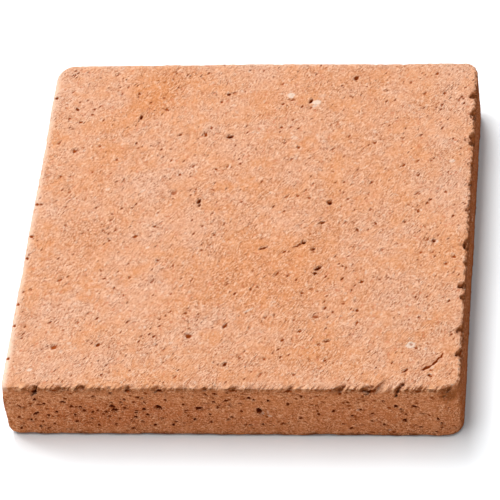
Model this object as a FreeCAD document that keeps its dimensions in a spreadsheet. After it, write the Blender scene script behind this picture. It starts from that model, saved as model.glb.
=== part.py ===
"""Hand-made terracotta floor tile: one square slab of fired clay, lying on its bed face.

The slab is a rounded square, padded up from the floor, with a softened arris all round its top and
its bottom. Knocks have broken chips out of the right and the front arris, and grit that burnt or fell
out of the clay has left pits in the wearing face and in the front edge.

Frame: the origin is the middle of the bed face, +X runs to the right along the front edge, +Y to the
back edge and +Z up through the wearing face. All sizes are in millimetres.
"""

import FreeCAD, Part
import os

import Sketcher

# Driving sizes of the slab.
SLAB = {
    "side": 200.0,
    "thickness": 32.5,
    "front_left_radius": 3.2,
    "front_right_radius": 7.8,
    "back_right_radius": 7.5,
    "back_left_radius": 8.6,
    "top_arris_radius": 2.0,
    "foot_arris_radius": 2.0,
}

# Chips out of the top arris: the edge, the corner that the chip's middle is measured from, and then
# the distance from that corner, the length along the edge, the reach into the wearing face and the
# drop down the side.
CHIPS = {
    "chip_right_a": ("right", "back", 23.0, 7.0, 3.4, 4.0),
    "chip_right_b": ("right", "back", 34.0, 10.0, 3.8, 5.0),
    "chip_right_c": ("right", "back", 52.0, 9.0, 3.6, 4.6),
    "chip_right_d": ("right", "front", 84.0, 10.0, 4.2, 4.6),
    "chip_right_e": ("right", "front", 62.0, 9.0, 3.2, 4.0),
    "chip_right_f": ("right", "front", 35.5, 10.5, 4.6, 5.0),
    "chip_right_g": ("right", "front", 21.0, 7.0, 3.6, 4.2),
    "chip_front_a": ("front", "left", 16.0, 6.0, 3.0, 3.8),
    "chip_front_b": ("front", "left", 36.0, 5.6, 2.8, 3.2),
    "chip_front_c": ("front", "left", 56.5, 6.0, 3.0, 3.6),
    "chip_front_d": ("front", "left", 70.0, 5.6, 2.8, 3.2),
    "chip_front_e": ("front", "right", 51.0, 8.0, 2.8, 3.0),
    "chip_front_f": ("front", "right", 38.5, 11.0, 4.2, 4.0),
    "chip_front_g": ("front", "right", 24.5, 8.0, 4.2, 4.0),
}

# The front right corner, broken away by a ball about the top of the corner's rounding.
CORNER_BREAK = {
    "corner_break_radius": 5.0,
}

# Pits in the wearing face: the two edges that the middle is measured from, and then the distances
# from them, the width across the mouth and the depth.
TOP_PITS = {
    "pit_top_a": ("left", "back", 76.0, 91.0, 3.4, 1.6),
    "pit_top_b": ("right", "back", 63.5, 91.0, 2.6, 1.2),
    "pit_top_c": ("right", "front", 66.0, 69.0, 3.6, 1.5),
    "pit_top_d": ("left", "back", 86.5, 48.5, 3.2, 1.4),
    "pit_top_e": ("right", "back", 77.5, 26.0, 3.0, 1.4),
    "pit_top_f": ("left", "front", 80.0, 30.0, 3.0, 1.2),
}

# Pits in the front edge: the corner that the middle is measured from, and then the distance from it,
# the height above the bed face, the width across the mouth and the depth.
FRONT_PITS = {
    "pit_front_a": ("left", 13.0, 14.0, 3.6, 1.6),
    "pit_front_b": ("left", 47.5, 18.0, 4.0, 1.8),
    "pit_front_c": ("left", 67.5, 17.5, 3.6, 1.6),
    "pit_front_d": ("left", 87.0, 18.0, 3.4, 1.5),
    "pit_front_e": ("right", 87.5, 16.0, 4.4, 2.0),
    "pit_front_f": ("right", 25.0, 10.0, 2.8, 1.4),
}

CHIP_SIZES = ("at", "length", "reach", "drop")
TOP_PIT_SIZES = ("across", "along", "width", "depth")
FRONT_PIT_SIZES = ("at", "height", "width", "depth")

# Which way each edge or corner lies from the middle of the tile.
SIGN = {"left": "-", "right": "", "front": "-", "back": ""}

# The corners' radii in order round the slab, anticlockwise from the front edge's right end.
CORNER_RADII = ("front_right_radius", "back_right_radius", "back_left_radius", "front_left_radius")

HALF_SIDE = "sizes.side / 2"
LEVEL_TOLERANCE = 1e-6


def named_sizes():
    """Every driving size by name, in the order of the sheet."""
    sizes = {**SLAB, **CORNER_BREAK}
    for table, words in ((CHIPS, CHIP_SIZES), (TOP_PITS, TOP_PIT_SIZES), (FRONT_PITS, FRONT_PIT_SIZES)):
        for name, row in table.items():
            numbers = [value for value in row if not isinstance(value, str)]
            sizes.update({f"{name}_{word}": value for word, value in zip(words, numbers)})
    return sizes


def make_sheet(doc):
    """The sheet of driving sizes, one named cell each."""
    sheet = doc.addObject("Spreadsheet::Sheet", "sizes")
    for row, (name, value) in enumerate(named_sizes().items(), start=1):
        sheet.set(f"A{row}", name)
        sheet.set(f"B{row}", str(value))
        sheet.setAlias(f"B{row}", name)
    doc.recompute()


def origin_plane(body, role):
    """One of the body's own origin planes."""
    return next(plane for plane in body.Origin.OriginFeatures if plane.Role == role)


def draw_outline(body):
    """The slab's outline: a square centred on the origin. Each corner has worn to a radius of its own."""
    sketch = body.newObject("Sketcher::SketchObject", "outline")
    sketch.AttachmentSupport = [(origin_plane(body, "XY_Plane"), "")]
    sketch.MapMode = "FlatFace"

    half = SLAB["side"] / 2
    up = FreeCAD.Vector(0, 0, 1)
    radii = [SLAB[name] for name in CORNER_RADII]
    front_right, back_right, back_left, front_left = (half - radius for radius in radii)
    line_ends = (
        ((-front_left, -half), (front_right, -half)),
        ((half, -front_right), (half, back_right)),
        ((back_right, half), (-back_left, half)),
        ((-half, back_left), (-half, -front_left)),
    )
    arc_centres = (
        (front_right, -front_right),
        (back_right, back_right),
        (-back_left, back_left),
        (-front_left, -front_left),
    )
    quarter = FreeCAD.Units.Quantity("90 deg").getValueAs("rad").Value

    lines = [
        sketch.addGeometry(Part.LineSegment(FreeCAD.Vector(*start, 0), FreeCAD.Vector(*end, 0)), False)
        for start, end in line_ends
    ]
    arcs = []
    for number, (centre, radius) in enumerate(zip(arc_centres, radii)):
        circle = Part.Circle(FreeCAD.Vector(*centre, 0), up, radius)
        begin = (number - 1) * quarter
        arcs.append(sketch.addGeometry(Part.ArcOfCircle(circle, begin, begin + quarter), False))

    start_point, end_point, origin_index, origin_point = 1, 2, -1, 1
    for number in range(len(lines)):
        following = lines[(number + 1) % len(lines)]
        sketch.addConstraint(
            Sketcher.Constraint("Tangent", lines[number], end_point, arcs[number], start_point)
        )
        sketch.addConstraint(
            Sketcher.Constraint("Tangent", arcs[number], end_point, following, start_point)
        )
    front, right, back, left = lines
    sketch.addConstraint(Sketcher.Constraint("Horizontal", front))
    sketch.addConstraint(Sketcher.Constraint("Vertical", right))
    sketch.addConstraint(Sketcher.Constraint("Horizontal", back))
    sketch.addConstraint(Sketcher.Constraint("Vertical", left))

    def driven(name, expression, *constraint):
        index = sketch.addConstraint(Sketcher.Constraint(*constraint))
        sketch.renameConstraint(index, name)
        sketch.setExpression(f"Constraints.{name}", expression)

    middle = (origin_index, origin_point)
    driven("front_reach", HALF_SIDE, "DistanceY", front, start_point, *middle, half)
    driven("right_reach", HALF_SIDE, "DistanceX", *middle, right, start_point, half)
    driven("back_reach", HALF_SIDE, "DistanceY", *middle, back, start_point, half)
    driven("left_reach", HALF_SIDE, "DistanceX", left, start_point, *middle, half)
    for name, arc, radius in zip(CORNER_RADII, arcs, radii):
        driven(name, f"sizes.{name}", "Radius", arc, radius)
    return sketch


def pad_slab(doc, body, outline):
    """The slab itself, padded up from the bed face."""
    pad = body.newObject("PartDesign::Pad", "slab")
    pad.Profile = outline
    pad.setExpression("Length", "sizes.thickness")
    doc.recompute()
    return pad


def soften_arris(doc, body, base, name, level, radius):
    """Rounds every edge of the base that lies flat at this height."""
    flat_edges = [
        f"Edge{number}"
        for number, edge in enumerate(base.Shape.Edges, start=1)
        if abs(edge.BoundBox.ZMin - level) < LEVEL_TOLERANCE
        and abs(edge.BoundBox.ZMax - level) < LEVEL_TOLERANCE
    ]
    fillet = body.newObject("PartDesign::Fillet", name)
    fillet.Base = (base, flat_edges)
    fillet.setExpression("Radius", radius)
    doc.recompute()
    return fillet


def scoop(doc, name, mouth, half_length, depths):
    """The ball that leaves one hollow. The hollow's mouth reaches half_length either way from its
    middle, and along each axis in depths it goes so far in from there. The ball's centre stands off
    along that axis by (half_length^2 - depth^2) / (2 depth), which puts mouth and depth on the ball."""
    stand_off = {
        axis: f"({half_length} ^ 2 - {depth} ^ 2) / (2 * {depth})" for axis, depth in depths.items()
    }
    squares = [f"({length}) ^ 2" for length in (half_length, *stand_off.values())]
    ball = doc.addObject("Part::Sphere", name)
    for axis, (outward, place) in mouth.items():
        centre = f"{place} + {stand_off[axis]}" if axis in stand_off else place
        ball.setExpression(f"Placement.Base.{axis}", f"{outward}({centre})")
    ball.setExpression("Radius", f"sqrt({' + '.join(squares)})")
    return ball


def arris_chips(doc):
    """Chips along the top arris, each with its mouth on the sharp line where the two faces would meet."""
    for name, (edge, corner, *_) in CHIPS.items():
        inward, along = ("x", "y") if edge == "right" else ("y", "x")
        mouth = {
            inward: (SIGN[edge], HALF_SIDE),
            along: (SIGN[corner], f"{HALF_SIDE} - sizes.{name}_at"),
            "z": ("", "sizes.thickness"),
        }
        depths = {inward: f"sizes.{name}_reach", "z": f"sizes.{name}_drop"}
        yield scoop(doc, name, mouth, f"(sizes.{name}_length / 2)", depths)


def corner_break(doc):
    """The break at the front right corner, about the top of the corner's rounding."""
    bulge = f"{HALF_SIDE} - sizes.front_right_radius * (1 - cos(45 deg))"
    mouth = {"x": (SIGN["right"], bulge), "y": (SIGN["front"], bulge), "z": ("", "sizes.thickness")}
    return scoop(doc, "corner_break", mouth, "sizes.corner_break_radius", {})


def face_pits(doc):
    """Round pits in the wearing face and in the front edge."""
    for name, (side, end, *_) in TOP_PITS.items():
        mouth = {
            "x": (SIGN[side], f"{HALF_SIDE} - sizes.{name}_across"),
            "y": (SIGN[end], f"{HALF_SIDE} - sizes.{name}_along"),
            "z": ("", "sizes.thickness"),
        }
        yield scoop(doc, name, mouth, f"(sizes.{name}_width / 2)", {"z": f"sizes.{name}_depth"})
    for name, (corner, *_) in FRONT_PITS.items():
        mouth = {
            "x": (SIGN[corner], f"{HALF_SIDE} - sizes.{name}_at"),
            "y": (SIGN["front"], HALF_SIDE),
            "z": ("", f"sizes.{name}_height"),
        }
        yield scoop(doc, name, mouth, f"(sizes.{name}_width / 2)", {"y": f"sizes.{name}_depth"})


def check(doc, tile):
    """Stops if anything in the document failed or the tile isn't one sound solid."""
    for thing in doc.Objects:
        if "Invalid" in thing.State or "Error" in thing.State:
            raise RuntimeError(f"{thing.Label} failed: {thing.State}")
    if tile.Shape.isNull() or not tile.Shape.isValid() or len(tile.Shape.Solids) != 1:
        raise RuntimeError(f"{tile.Label} is not one sound solid")


def main():
    doc = FreeCAD.newDocument("terracotta_floor_tile")
    make_sheet(doc)

    body = doc.addObject("PartDesign::Body", "sound_slab")
    slab = pad_slab(doc, body, draw_outline(body))
    softened = soften_arris(doc, body, slab, "top_arris", SLAB["thickness"], "sizes.top_arris_radius")
    soften_arris(doc, body, softened, "foot_arris", 0.0, "sizes.foot_arris_radius")

    hollows = doc.addObject("Part::MultiFuse", "hollows")
    hollows.Shapes = [*arris_chips(doc), corner_break(doc), *face_pits(doc)]
    tile = doc.addObject("Part::Cut", "floor_tile")
    tile.Label = "floor_tile"
    tile.Base = body
    tile.Tool = hollows
    doc.recompute()

    check(doc, tile)
    os.makedirs("parts", exist_ok=True)
    tile.Shape.exportStep(f"parts/{tile.Label}.step")
    print(f"{tile.Label}: {tile.Shape.Volume:.1f} mm3, {len(tile.Shape.Faces)} faces")


main()
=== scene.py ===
import math

import bpy
import numpy as np
from mathutils import Matrix, Vector


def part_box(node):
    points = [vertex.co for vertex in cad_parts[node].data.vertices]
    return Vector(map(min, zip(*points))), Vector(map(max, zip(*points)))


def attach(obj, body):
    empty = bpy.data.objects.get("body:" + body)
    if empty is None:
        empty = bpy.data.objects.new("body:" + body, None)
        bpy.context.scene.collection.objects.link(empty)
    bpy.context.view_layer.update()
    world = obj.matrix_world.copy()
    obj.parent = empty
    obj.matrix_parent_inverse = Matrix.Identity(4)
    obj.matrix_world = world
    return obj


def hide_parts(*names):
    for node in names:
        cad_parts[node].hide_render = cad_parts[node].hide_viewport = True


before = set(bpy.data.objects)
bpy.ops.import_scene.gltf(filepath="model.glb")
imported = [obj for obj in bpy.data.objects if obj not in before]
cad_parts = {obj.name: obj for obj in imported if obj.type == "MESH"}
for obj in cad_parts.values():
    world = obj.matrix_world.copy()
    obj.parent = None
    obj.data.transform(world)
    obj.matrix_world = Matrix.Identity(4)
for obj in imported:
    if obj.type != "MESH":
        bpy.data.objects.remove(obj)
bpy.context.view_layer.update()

# The tile: one square slab of coarse red clay, struck off in a wooden frame, dried and fired.
# Its wearing face keeps the drag of the strike and the holes of grit and straw; its front and
# right arrises have been knocked and torn, and the back and left ones are only worn soft.
MM = 0.001
lowest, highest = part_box("floor_tile")
SIDE = (highest[0] - lowest[0]) / MM
THICKNESS = (highest[2] - lowest[2]) / MM
HALF_SIDE = SIDE / 2
CORNER_RADII = {"front_left": 3.2, "front_right": 7.8, "back_left": 9.4, "back_right": 7.5}
RIM = 3.0
CELLS_ACROSS = 236
QUARTER_TURN = math.pi / 2


def bend_to_slab(cells, half, radii):
    """Plan positions and outward directions of a square grid bent to a rounded square. Each square ring
    of the grid keeps its distance from the edge; its corner is an arc whose radius falls by that
    distance, and points are spread evenly from the middle of a side to the middle of the arc."""
    steps = np.linspace(-1.0, 1.0, cells + 1)
    across, along = np.meshgrid(steps, steps)
    front = np.where(across < 0, radii["front_left"], radii["front_right"])
    radius = np.where(along < 0, front, np.where(across < 0, radii["back_left"], radii["back_right"]))
    on_x = np.abs(across) >= np.abs(along)
    ring = np.maximum(np.abs(across), np.abs(along))
    outward = np.where(on_x, np.sign(across), np.sign(along))
    share = np.where(on_x, along, across) / np.maximum(ring, 1e-9)
    reach = ring * half
    arc = np.clip(radius - (half - reach), 0.0, None)
    straight = reach - arc
    run = np.abs(share) * (straight + arc * math.pi / 4)
    turn = np.clip((run - straight) / np.maximum(arc, 1e-9), 0.0, math.pi / 4)
    turn = np.where(run > straight, turn, 0.0)
    out = outward * (straight + arc * np.cos(turn))
    over = np.sign(share) * np.where(turn > 0, straight + arc * np.sin(turn), run)
    plan = np.where(on_x[..., None], np.stack([out, over], -1), np.stack([over, out], -1))
    heading_out = outward * np.cos(turn)
    heading_over = np.sign(share) * np.sin(turn)
    heading = np.where(
        on_x[..., None], np.stack([heading_out, heading_over], -1), np.stack([heading_over, heading_out], -1)
    )
    return plan.reshape(-1, 2), heading.reshape(-1, 2)


def ripple(points, longest, shortest, seed, waves=40):
    """Smooth noise of unit spread: a sum of plane waves with seeded headings and phases, whose lengths
    are spread evenly in octaves from the longest to the shortest."""
    rng = np.random.default_rng(seed)
    heading = rng.normal(size=(waves, points.shape[1]))
    heading /= np.linalg.norm(heading, axis=1, keepdims=True)
    length = shortest * (longest / shortest) ** rng.random(waves)
    phase = rng.random(waves) * 2 * math.pi
    swing = points @ (heading * (2 * math.pi / length)[:, None]).T + phase
    return np.cos(swing).sum(axis=1) * math.sqrt(2 / waves)


def turned(points, angle):
    """Plan points turned back by an angle in degrees: x becomes x cos + y sin and y becomes y cos - x sin,
    so that a line at that angle lies along the first axis."""
    c, s = math.cos(math.radians(angle)), math.sin(math.radians(angle))
    return np.stack([points[:, 0] * c + points[:, 1] * s, points[:, 1] * c - points[:, 0] * s], -1)


def smooth(low, high, values):
    """0 at low, 1 at high, and an even S between them."""
    t = np.clip((values - low) / (high - low), 0.0, 1.0)
    return t * t * (3 - 2 * t)


def grit_pits(spots, cell, share, seed, smallest, largest):
    """How far inside the nearest small pit each spot lies: 1 in its middle, 0 on its rim and down to -1
    outside. A share of the squares of a grid hold one round pit each, placed and sized at random."""
    rng = np.random.default_rng(seed)
    table = 256
    place = rng.random((table, table, 2))
    radius = smallest + (largest - smallest) * rng.random((table, table)) ** 2
    holds = rng.random((table, table)) < share
    squares = spots / cell
    corner = np.floor(squares).astype(int)
    inside = np.full(len(spots), -1.0)
    for step in np.ndindex(3, 3):
        square = corner + np.array(step) - 1
        slot = tuple(np.mod(square, table).T)
        gap = np.linalg.norm(squares - square - place[slot], axis=1) / radius[slot]
        inside = np.maximum(inside, np.where(holds[slot], 1 - gap, -1.0))
    return inside


def pit_depths(spots, pits):
    """How deep the listed pits are at each spot. A pit is a middle, a length, a width, the angle it lies
    at and a depth, and falls in an even S from a little past its rim to its middle."""
    depth = np.zeros(len(spots))
    for x, y, length, width, angle, deep in pits:
        gap = turned(spots - np.array([x, y]), angle) / (np.array([length, width]) / 2)
        depth = np.maximum(depth, deep * smooth(1.5, 0.2, np.linalg.norm(gap, axis=1)))
    return depth


# The grid of the wearing face, and the loop of its rim, anticlockwise from the front left corner.
rim_radii = {corner: radius - RIM for corner, radius in CORNER_RADII.items()}
top_plan, top_heading = bend_to_slab(CELLS_ACROSS, HALF_SIDE - RIM, rim_radii)
grid = np.arange((CELLS_ACROSS + 1) ** 2).reshape(CELLS_ACROSS + 1, CELLS_ACROSS + 1)
loop = np.concatenate([grid[0, :-1], grid[:-1, -1], grid[-1, :0:-1], grid[:0:-1, 0]])
columns = len(loop)
rim_plan, rim_heading = top_plan[loop], top_heading[loop]

# The arris radius round the slab: soft at the back and the left, tight and uneven at the front and right.
SOFT_ARRIS = 2.7
TIGHT_ARRIS = 0.7
SOFTER_RIGHT = 0.8
FOOT_ARRIS = 2.0
knocked = np.clip(rim_heading[:, 0], 0, None) ** 2 + np.clip(-rim_heading[:, 1], 0, None) ** 2
edge_line = rim_plan + rim_heading * RIM
worn = SOFT_ARRIS + 0.15 * ripple(edge_line, 60.0, 14.0, 12)
softer = SOFTER_RIGHT * np.clip(rim_heading[:, 0], 0, None) ** 2
tight = TIGHT_ARRIS + softer + 0.2 * np.abs(ripple(edge_line, 9.0, 2.4, 13))
top_arris = np.clip(worn * (1 - knocked) + tight * knocked, 0.6, RIM - 0.1)
foot_arris = FOOT_ARRIS + 0.3 * ripple(edge_line, 40.0, 6.0, 14)

# The band from the rim down the sides and under the foot, row by row: how far in from the slab's
# outline, how high, and how far the face has tipped over from level.
LIP_ROWS, ARC_ROWS, SIDE_ROWS, FOOT_ROWS = 3, 6, 27, 4
lip = (np.arange(1, LIP_ROWS + 1) / LIP_ROWS)[:, None]
arc = (np.arange(1, ARC_ROWS + 1) / ARC_ROWS * QUARTER_TURN)[:, None]
drop = ((np.arange(1, SIDE_ROWS + 1) / SIDE_ROWS) ** 1.25)[:, None]
foot = (np.arange(1, FOOT_ROWS + 1) / FOOT_ROWS * QUARTER_TURN)[:, None]
level = np.ones(columns)
inset = np.concatenate([
    RIM + (top_arris - RIM) * lip,
    top_arris * (1 - np.sin(arc)),
    0 * level * drop,
    foot_arris * (1 - np.cos(foot)),
])
height = np.concatenate([
    THICKNESS * level * lip ** 0,
    THICKNESS - top_arris * (1 - np.cos(arc)),
    THICKNESS - top_arris + (foot_arris + top_arris - THICKNESS) * drop,
    foot_arris * (1 - np.sin(foot)),
])
tip = np.concatenate([
    0 * level * lip,
    arc * level,
    QUARTER_TURN * level * drop ** 0,
    QUARTER_TURN + foot * level,
])
band_rows = len(inset)

# The front left corner: squarer at mid-height than its arc, and worn to a wider arc at the foot.
WIDE_FOOT_RADIUS = 5.2
WIDE_FOOT_HEIGHT = 5.0
SQUARENESS = 0.85
front_left = CORNER_RADII["front_left"]
from_corner = np.linalg.norm(edge_line + HALF_SIDE, axis=1)
short = np.clip(WIDE_FOOT_RADIUS - from_corner, 0.0, None)
wide_foot = WIDE_FOOT_RADIUS - np.sqrt(WIDE_FOOT_RADIUS ** 2 - np.minimum(short, WIDE_FOOT_RADIUS) ** 2)
wide_foot = np.minimum(wide_foot, (WIDE_FOOT_RADIUS - front_left) * (math.sqrt(2) - 1))
below = np.clip(1 - height / WIDE_FOOT_HEIGHT, 0.0, 1.0)
inset = inset + wide_foot * (1 - np.sqrt(1 - below ** 2))
at_corner = (from_corner < front_left + 1) & (np.abs(rim_heading).min(axis=1) > 0)
to_square = np.where(at_corner, front_left * (1 / np.abs(rim_heading).max(axis=1) - 1), 0.0)
bell = smooth(1.0, 6.0, height) * smooth(THICKNESS - 1.5, THICKNESS - 10.0, height)
inset = inset - SQUARENESS * to_square * bell

band_plan = rim_plan + rim_heading * (RIM - inset)[..., None]
band = np.concatenate([band_plan, height[..., None]], -1).reshape(-1, 3)
leaning_out = rim_heading * np.sin(tip)[..., None]
band_normal = np.concatenate([leaning_out, np.cos(tip)[..., None]], -1).reshape(-1, 3)

top = np.column_stack([top_plan, np.full(len(top_plan), THICKNESS)])
points = np.concatenate([top, band])
normals = np.concatenate([np.tile([0.0, 0.0, 1.0], (len(top), 1)), band_normal])
faces_up = np.clip(normals[:, 2], 0, None)
upright = 1 - np.abs(normals[:, 2])

# Distance round the slab for the sides, so that their pits can lie level.
step_length = np.linalg.norm(np.roll(edge_line, -1, 0) - edge_line, axis=1)
round_slab = np.concatenate([[0], np.cumsum(step_length)[:-1]])
around = np.concatenate([np.zeros(len(top)), np.tile(round_slab, band_rows)])
side_spots = np.column_stack([around, points[:, 2]])
STRIKE_ANGLE = 57.0
strike_spots = turned(points[:, :2], STRIKE_ANGLE)

# Pits that can be told apart: middle, length, width, lie and depth. Those of the wearing face
# are placed in plan, those of the front by how far along it and how high. Specks are small pits, placed by
# their middles, which take a few sizes in turn.
FACE_PITS = (
    (-23.5, 10.5, 2.6, 1.5, 70, 1.8), (-23, 8, 1.3, 1.5, 0, 1.4), (36.5, 9, 2.2, 1.9, 60, 1.5),
    (34, -30.5, 3.0, 1.6, 30, 1.8), (33, -33.5, 1.7, 1.4, 40, 1.2), (26.5, -15, 1.9, 1.5, 30, 1.4),
    (24.5, -16.5, 4.2, 0.9, 38, 0.9), (31, -19, 2.0, 1.5, 20, 1.1), (8.5, -18, 3.8, 1.1, 25, 1.1),
    (18, -20.5, 2.0, 1.1, 20, 0.8), (34, -3, 2.3, 1.2, 25, 1.0), (-35.5, 16, 3.0, 2.8, 40, 0.55),
    (35, -58.5, 2.4, 2.6, 40, 0.65), (32, -42.5, 2.0, 2.0, 40, 0.5), (16, -33.5, 3.4, 1.0, 58, 0.7),
    (-13, 51, 3.2, 1.7, 10, 1.6), (-24.5, 52.5, 1.5, 2.9, 10, 0.9), (-16, 78.5, 2.1, 1.3, 20, 1.2),
    (-13, 79.5, 3.0, 0.8, 20, 0.6), (23, 73.8, 1.2, 2.8, -25, 1.6), (14, 74.7, 3.0, 0.9, 5, 0.8),
    (23.3, 69.5, 1.3, 1.2, 0, 0.8),
    (77.9, -74.5, 1.6, 1.4, 30, 0.5), (43, 88.5, 2.1, 1.9, 30, 1.1),
    (-56, 64, 3.1, 1.2, 78, 1.3), (-44.5, 69, 3.0, 1.3, -10, 0.8), (-87, 69.5, 1.5, 1.9, 30, 1.0),
    (-84.5, 61, 2.3, 1.3, 20, 0.8), (-85, 42.5, 2.4, 2.0, 50, 0.8), (-36.5, 52.5, 2.0, 1.4, 20, 1.0),
    (-50.5, -11, 3.0, 1.9, 20, 0.7), (-81.5, -37, 3.6, 1.2, 35, 0.7), (-59.5, -75, 2.4, 1.6, 50, 1.0),
    (-79, -76.5, 3.4, 2.8, 30, 0.7), (-20, -70, 2.9, 2.5, 30, 0.9), (50, -7, 1.3, 1.5, 40, 1.0),
    (-2.5, -86, 2.0, 1.6, 60, 1.1), (41, -72.5, 2.6, 1.2, 10, 1.1), (-4.5, -64, 2.8, 1.3, 55, 0.9),
    (54, -38.5, 1.7, 1.3, 20, 0.9), (53, -55, 1.5, 1.8, 40, 0.9), (53.5, -62, 2.2, 1.4, 60, 0.7),
    (94, -23.5, 1.6, 2.4, 60, 0.8), (84.5, -14, 1.5, 1.8, 30, 1.2), (76.5, 4, 1.5, 1.8, 40, 0.7),
    (76, -89, 3.2, 1.2, 42, 1.0), (86.5, -91.5, 1.3, 1.4, 0, 1.0), (80, -76.5, 1.2, 1.8, 60, 0.8),
    (87, -88.8, 1.5, 1.2, 30, 0.6),
    (-98, 77, 1.8, 1.6, 30, 1.0), (-98.2, 9, 1.6, 2.4, 60, 0.8), (-98, -11, 1.5, 2.0, 60, 0.9),
    (-98.3, -24, 1.4, 1.8, 60, 0.9), (-98.5, -51.5, 1.4, 2.0, 60, 0.8), (-98.4, -64, 1.4, 1.8, 60, 0.8),
    (-98.6, -83, 1.4, 2.0, 60, 0.8),
)
FACE_SPECKS = (
    (-91, 92), (-90, 63.5), (-79.5, 66), (-93, 48), (-73.5, 45.5), (-64.5, 84), (-58.5, 79.5),
    (-46.5, 76.5), (-70.5, 92.5), (-64.5, 37), (-28.5, 32.5), (-34, 27.5), (-42.5, 93), (-90.5, 81),
    (-89.5, 26.5), (-84, 16.5), (-19, 73.5), (-17.5, 17.5), (35.5, 43), (42, 22), (44.5, 11.5), (54.5, 22),
    (53.5, 14.5), (13, 47), (10.5, 57), (15, 57), (10, 72), (25, 17), (17, 36.5), (19.5, 44), (-12.5, 32),
    (27, 12), (36.5, 28.5), (42.5, 51), (54.5, 46.5), (-83, -4), (-84.5, 7.5), (-62.5, 2.5), (-62.5, -1),
    (-62, -13.5), (-41.5, 3.5), (-42, -5), (-63.5, -31.5), (-39.5, -38), (-38.5, -25.5), (-70, -62),
    (-82.5, -62), (-54.5, -76.5), (-54.5, -86.5), (-56, -92), (-50, -36), (-17.5, 30.5), (-10.5, -3.5),
    (-6, -40), (28, -45), (-22, -37.5), (-14.5, -10), (8, -41.5), (16.5, 13), (21.5, 13.5), (3.5, -82.5),
    (29, -67), (25.5, -60.5), (13, -59), (28, -91.5), (37.5, -74.5), (41, -83.5), (9.5, -90), (13.5, -92),
    (14.5, -83), (-23.5, -93), (81, 91), (69, 85.5), (76, 78), (85, 78), (92, 74), (68.5, 32), (81, 35),
    (75.5, 14.5), (88.5, 15.5), (55, 5), (58, -3.5), (52, -49.5), (44, -3), (90.5, -27.5), (62, -19.5),
    (71, -2.5), (79.5, -28.5), (81.5, -13),
)
FRONT_PITS = (
    (-84, 21, 3.0, 1.0, 0, 1.0), (-92.4, 19.3, 5.9, 0.9, -28, 0.9), (-86.3, 14.8, 3.4, 1.4, 38, 1.4),
    (-94.4, 12.3, 1.9, 1.3, 35, 1.0), (-87, 11, 1.3, 1.0, 30, 0.7), (-84, 9.4, 1.2, 1.3, 0, 0.8),
    (-79, 8, 1.3, 1.4, -30, 0.9), (-73.4, 22.4, 3.0, 1.5, -8, 1.2), (-72, 25, 1.5, 1.1, 0, 0.8),
    (-66.2, 19, 1.7, 1.6, 0, 1.3), (-64.6, 16.7, 1.6, 1.4, 20, 1.1), (-61, 15.8, 1.6, 1.2, 15, 1.0),
    (-58.7, 17, 1.6, 1.2, 15, 1.0), (-52, 19.4, 2.5, 1.4, 0, 1.3), (-51.2, 17, 2.9, 2.0, 10, 1.6),
    (-46.6, 18.6, 1.4, 1.6, 0, 1.0), (-63.8, 8.5, 3.6, 0.8, 5, 0.6), (-56.4, 14.4, 1.5, 1.6, 0, 0.8),
    (-49.6, 11.3, 1.5, 1.3, 0, 0.8), (-51.7, 7.4, 1.5, 1.1, 15, 0.8), (-72.5, 3.8, 1.7, 1.2, 30, 0.8),
    (-42.2, 22.7, 1.5, 1.3, 0, 0.9), (-38.2, 17.6, 1.5, 1.8, 30, 1.4), (-31.8, 18.8, 3.4, 2.1, -15, 1.8),
    (-44.5, 10.4, 1.3, 1.4, 0, 0.8), (-19.3, 13.5, 1.3, 1.3, 0, 0.8), (-14, 18.5, 3.7, 1.6, 12, 1.5),
    (-9.5, 22.3, 3.0, 0.8, 20, 0.6), (-9.8, 27.9, 1.6, 1.0, -20, 0.9), (8.4, 25.7, 1.8, 1.3, 25, 1.1),
    (10.6, 24.6, 1.4, 1.3, -30, 1.0), (12.2, 16.8, 2.4, 3.8, 10, 2.2), (25.2, 21.7, 1.6, 1.4, 10, 1.0),
    (5.4, 8, 1.7, 1.0, 10, 0.9), (21.9, 8.3, 2.5, 1.0, 15, 0.9), (37.7, 17.2, 1.1, 1.4, 0, 0.8),
    (48.4, 29, 1.6, 1.5, 40, 0.9), (51.2, 23, 1.5, 1.0, 0, 0.9), (48.2, 8.4, 1.5, 1.3, 0, 0.8),
    (30.2, 28, 2.5, 0.9, -20, 0.8), (71.8, 20.4, 1.6, 1.2, 0, 1.3), (80, 20.5, 3.0, 1.2, -12, 1.2),
    (75, 11, 1.5, 2.0, 20, 1.7), (75.7, 14.8, 1.4, 1.1, 30, 0.8), (83.3, 15.6, 2.9, 1.0, 0, 1.0),
    (85.8, 14.6, 1.6, 1.0, -35, 0.8), (89.6, 12, 1.7, 1.1, -45, 1.1), (91, 9.2, 1.1, 1.8, 20, 1.1),
    (-85, 30, 2.6, 2.0, 20, 1.0), (-76.5, 30.6, 3.4, 1.4, 0, 0.7), (-44, 30.4, 2.2, 2.6, 0, 1.0),
    (-30, 30.4, 2.6, 2.0, -20, 1.1), (-6, 28.4, 2.4, 1.2, -25, 1.0), (2, 30.6, 3.6, 1.6, 0, 0.8),
    (26, 30.2, 3.2, 1.8, 10, 0.9), (62, 30.4, 4.0, 2.2, 10, 0.9), (82, 30.6, 3.0, 1.8, 20, 0.8),
)
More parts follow.
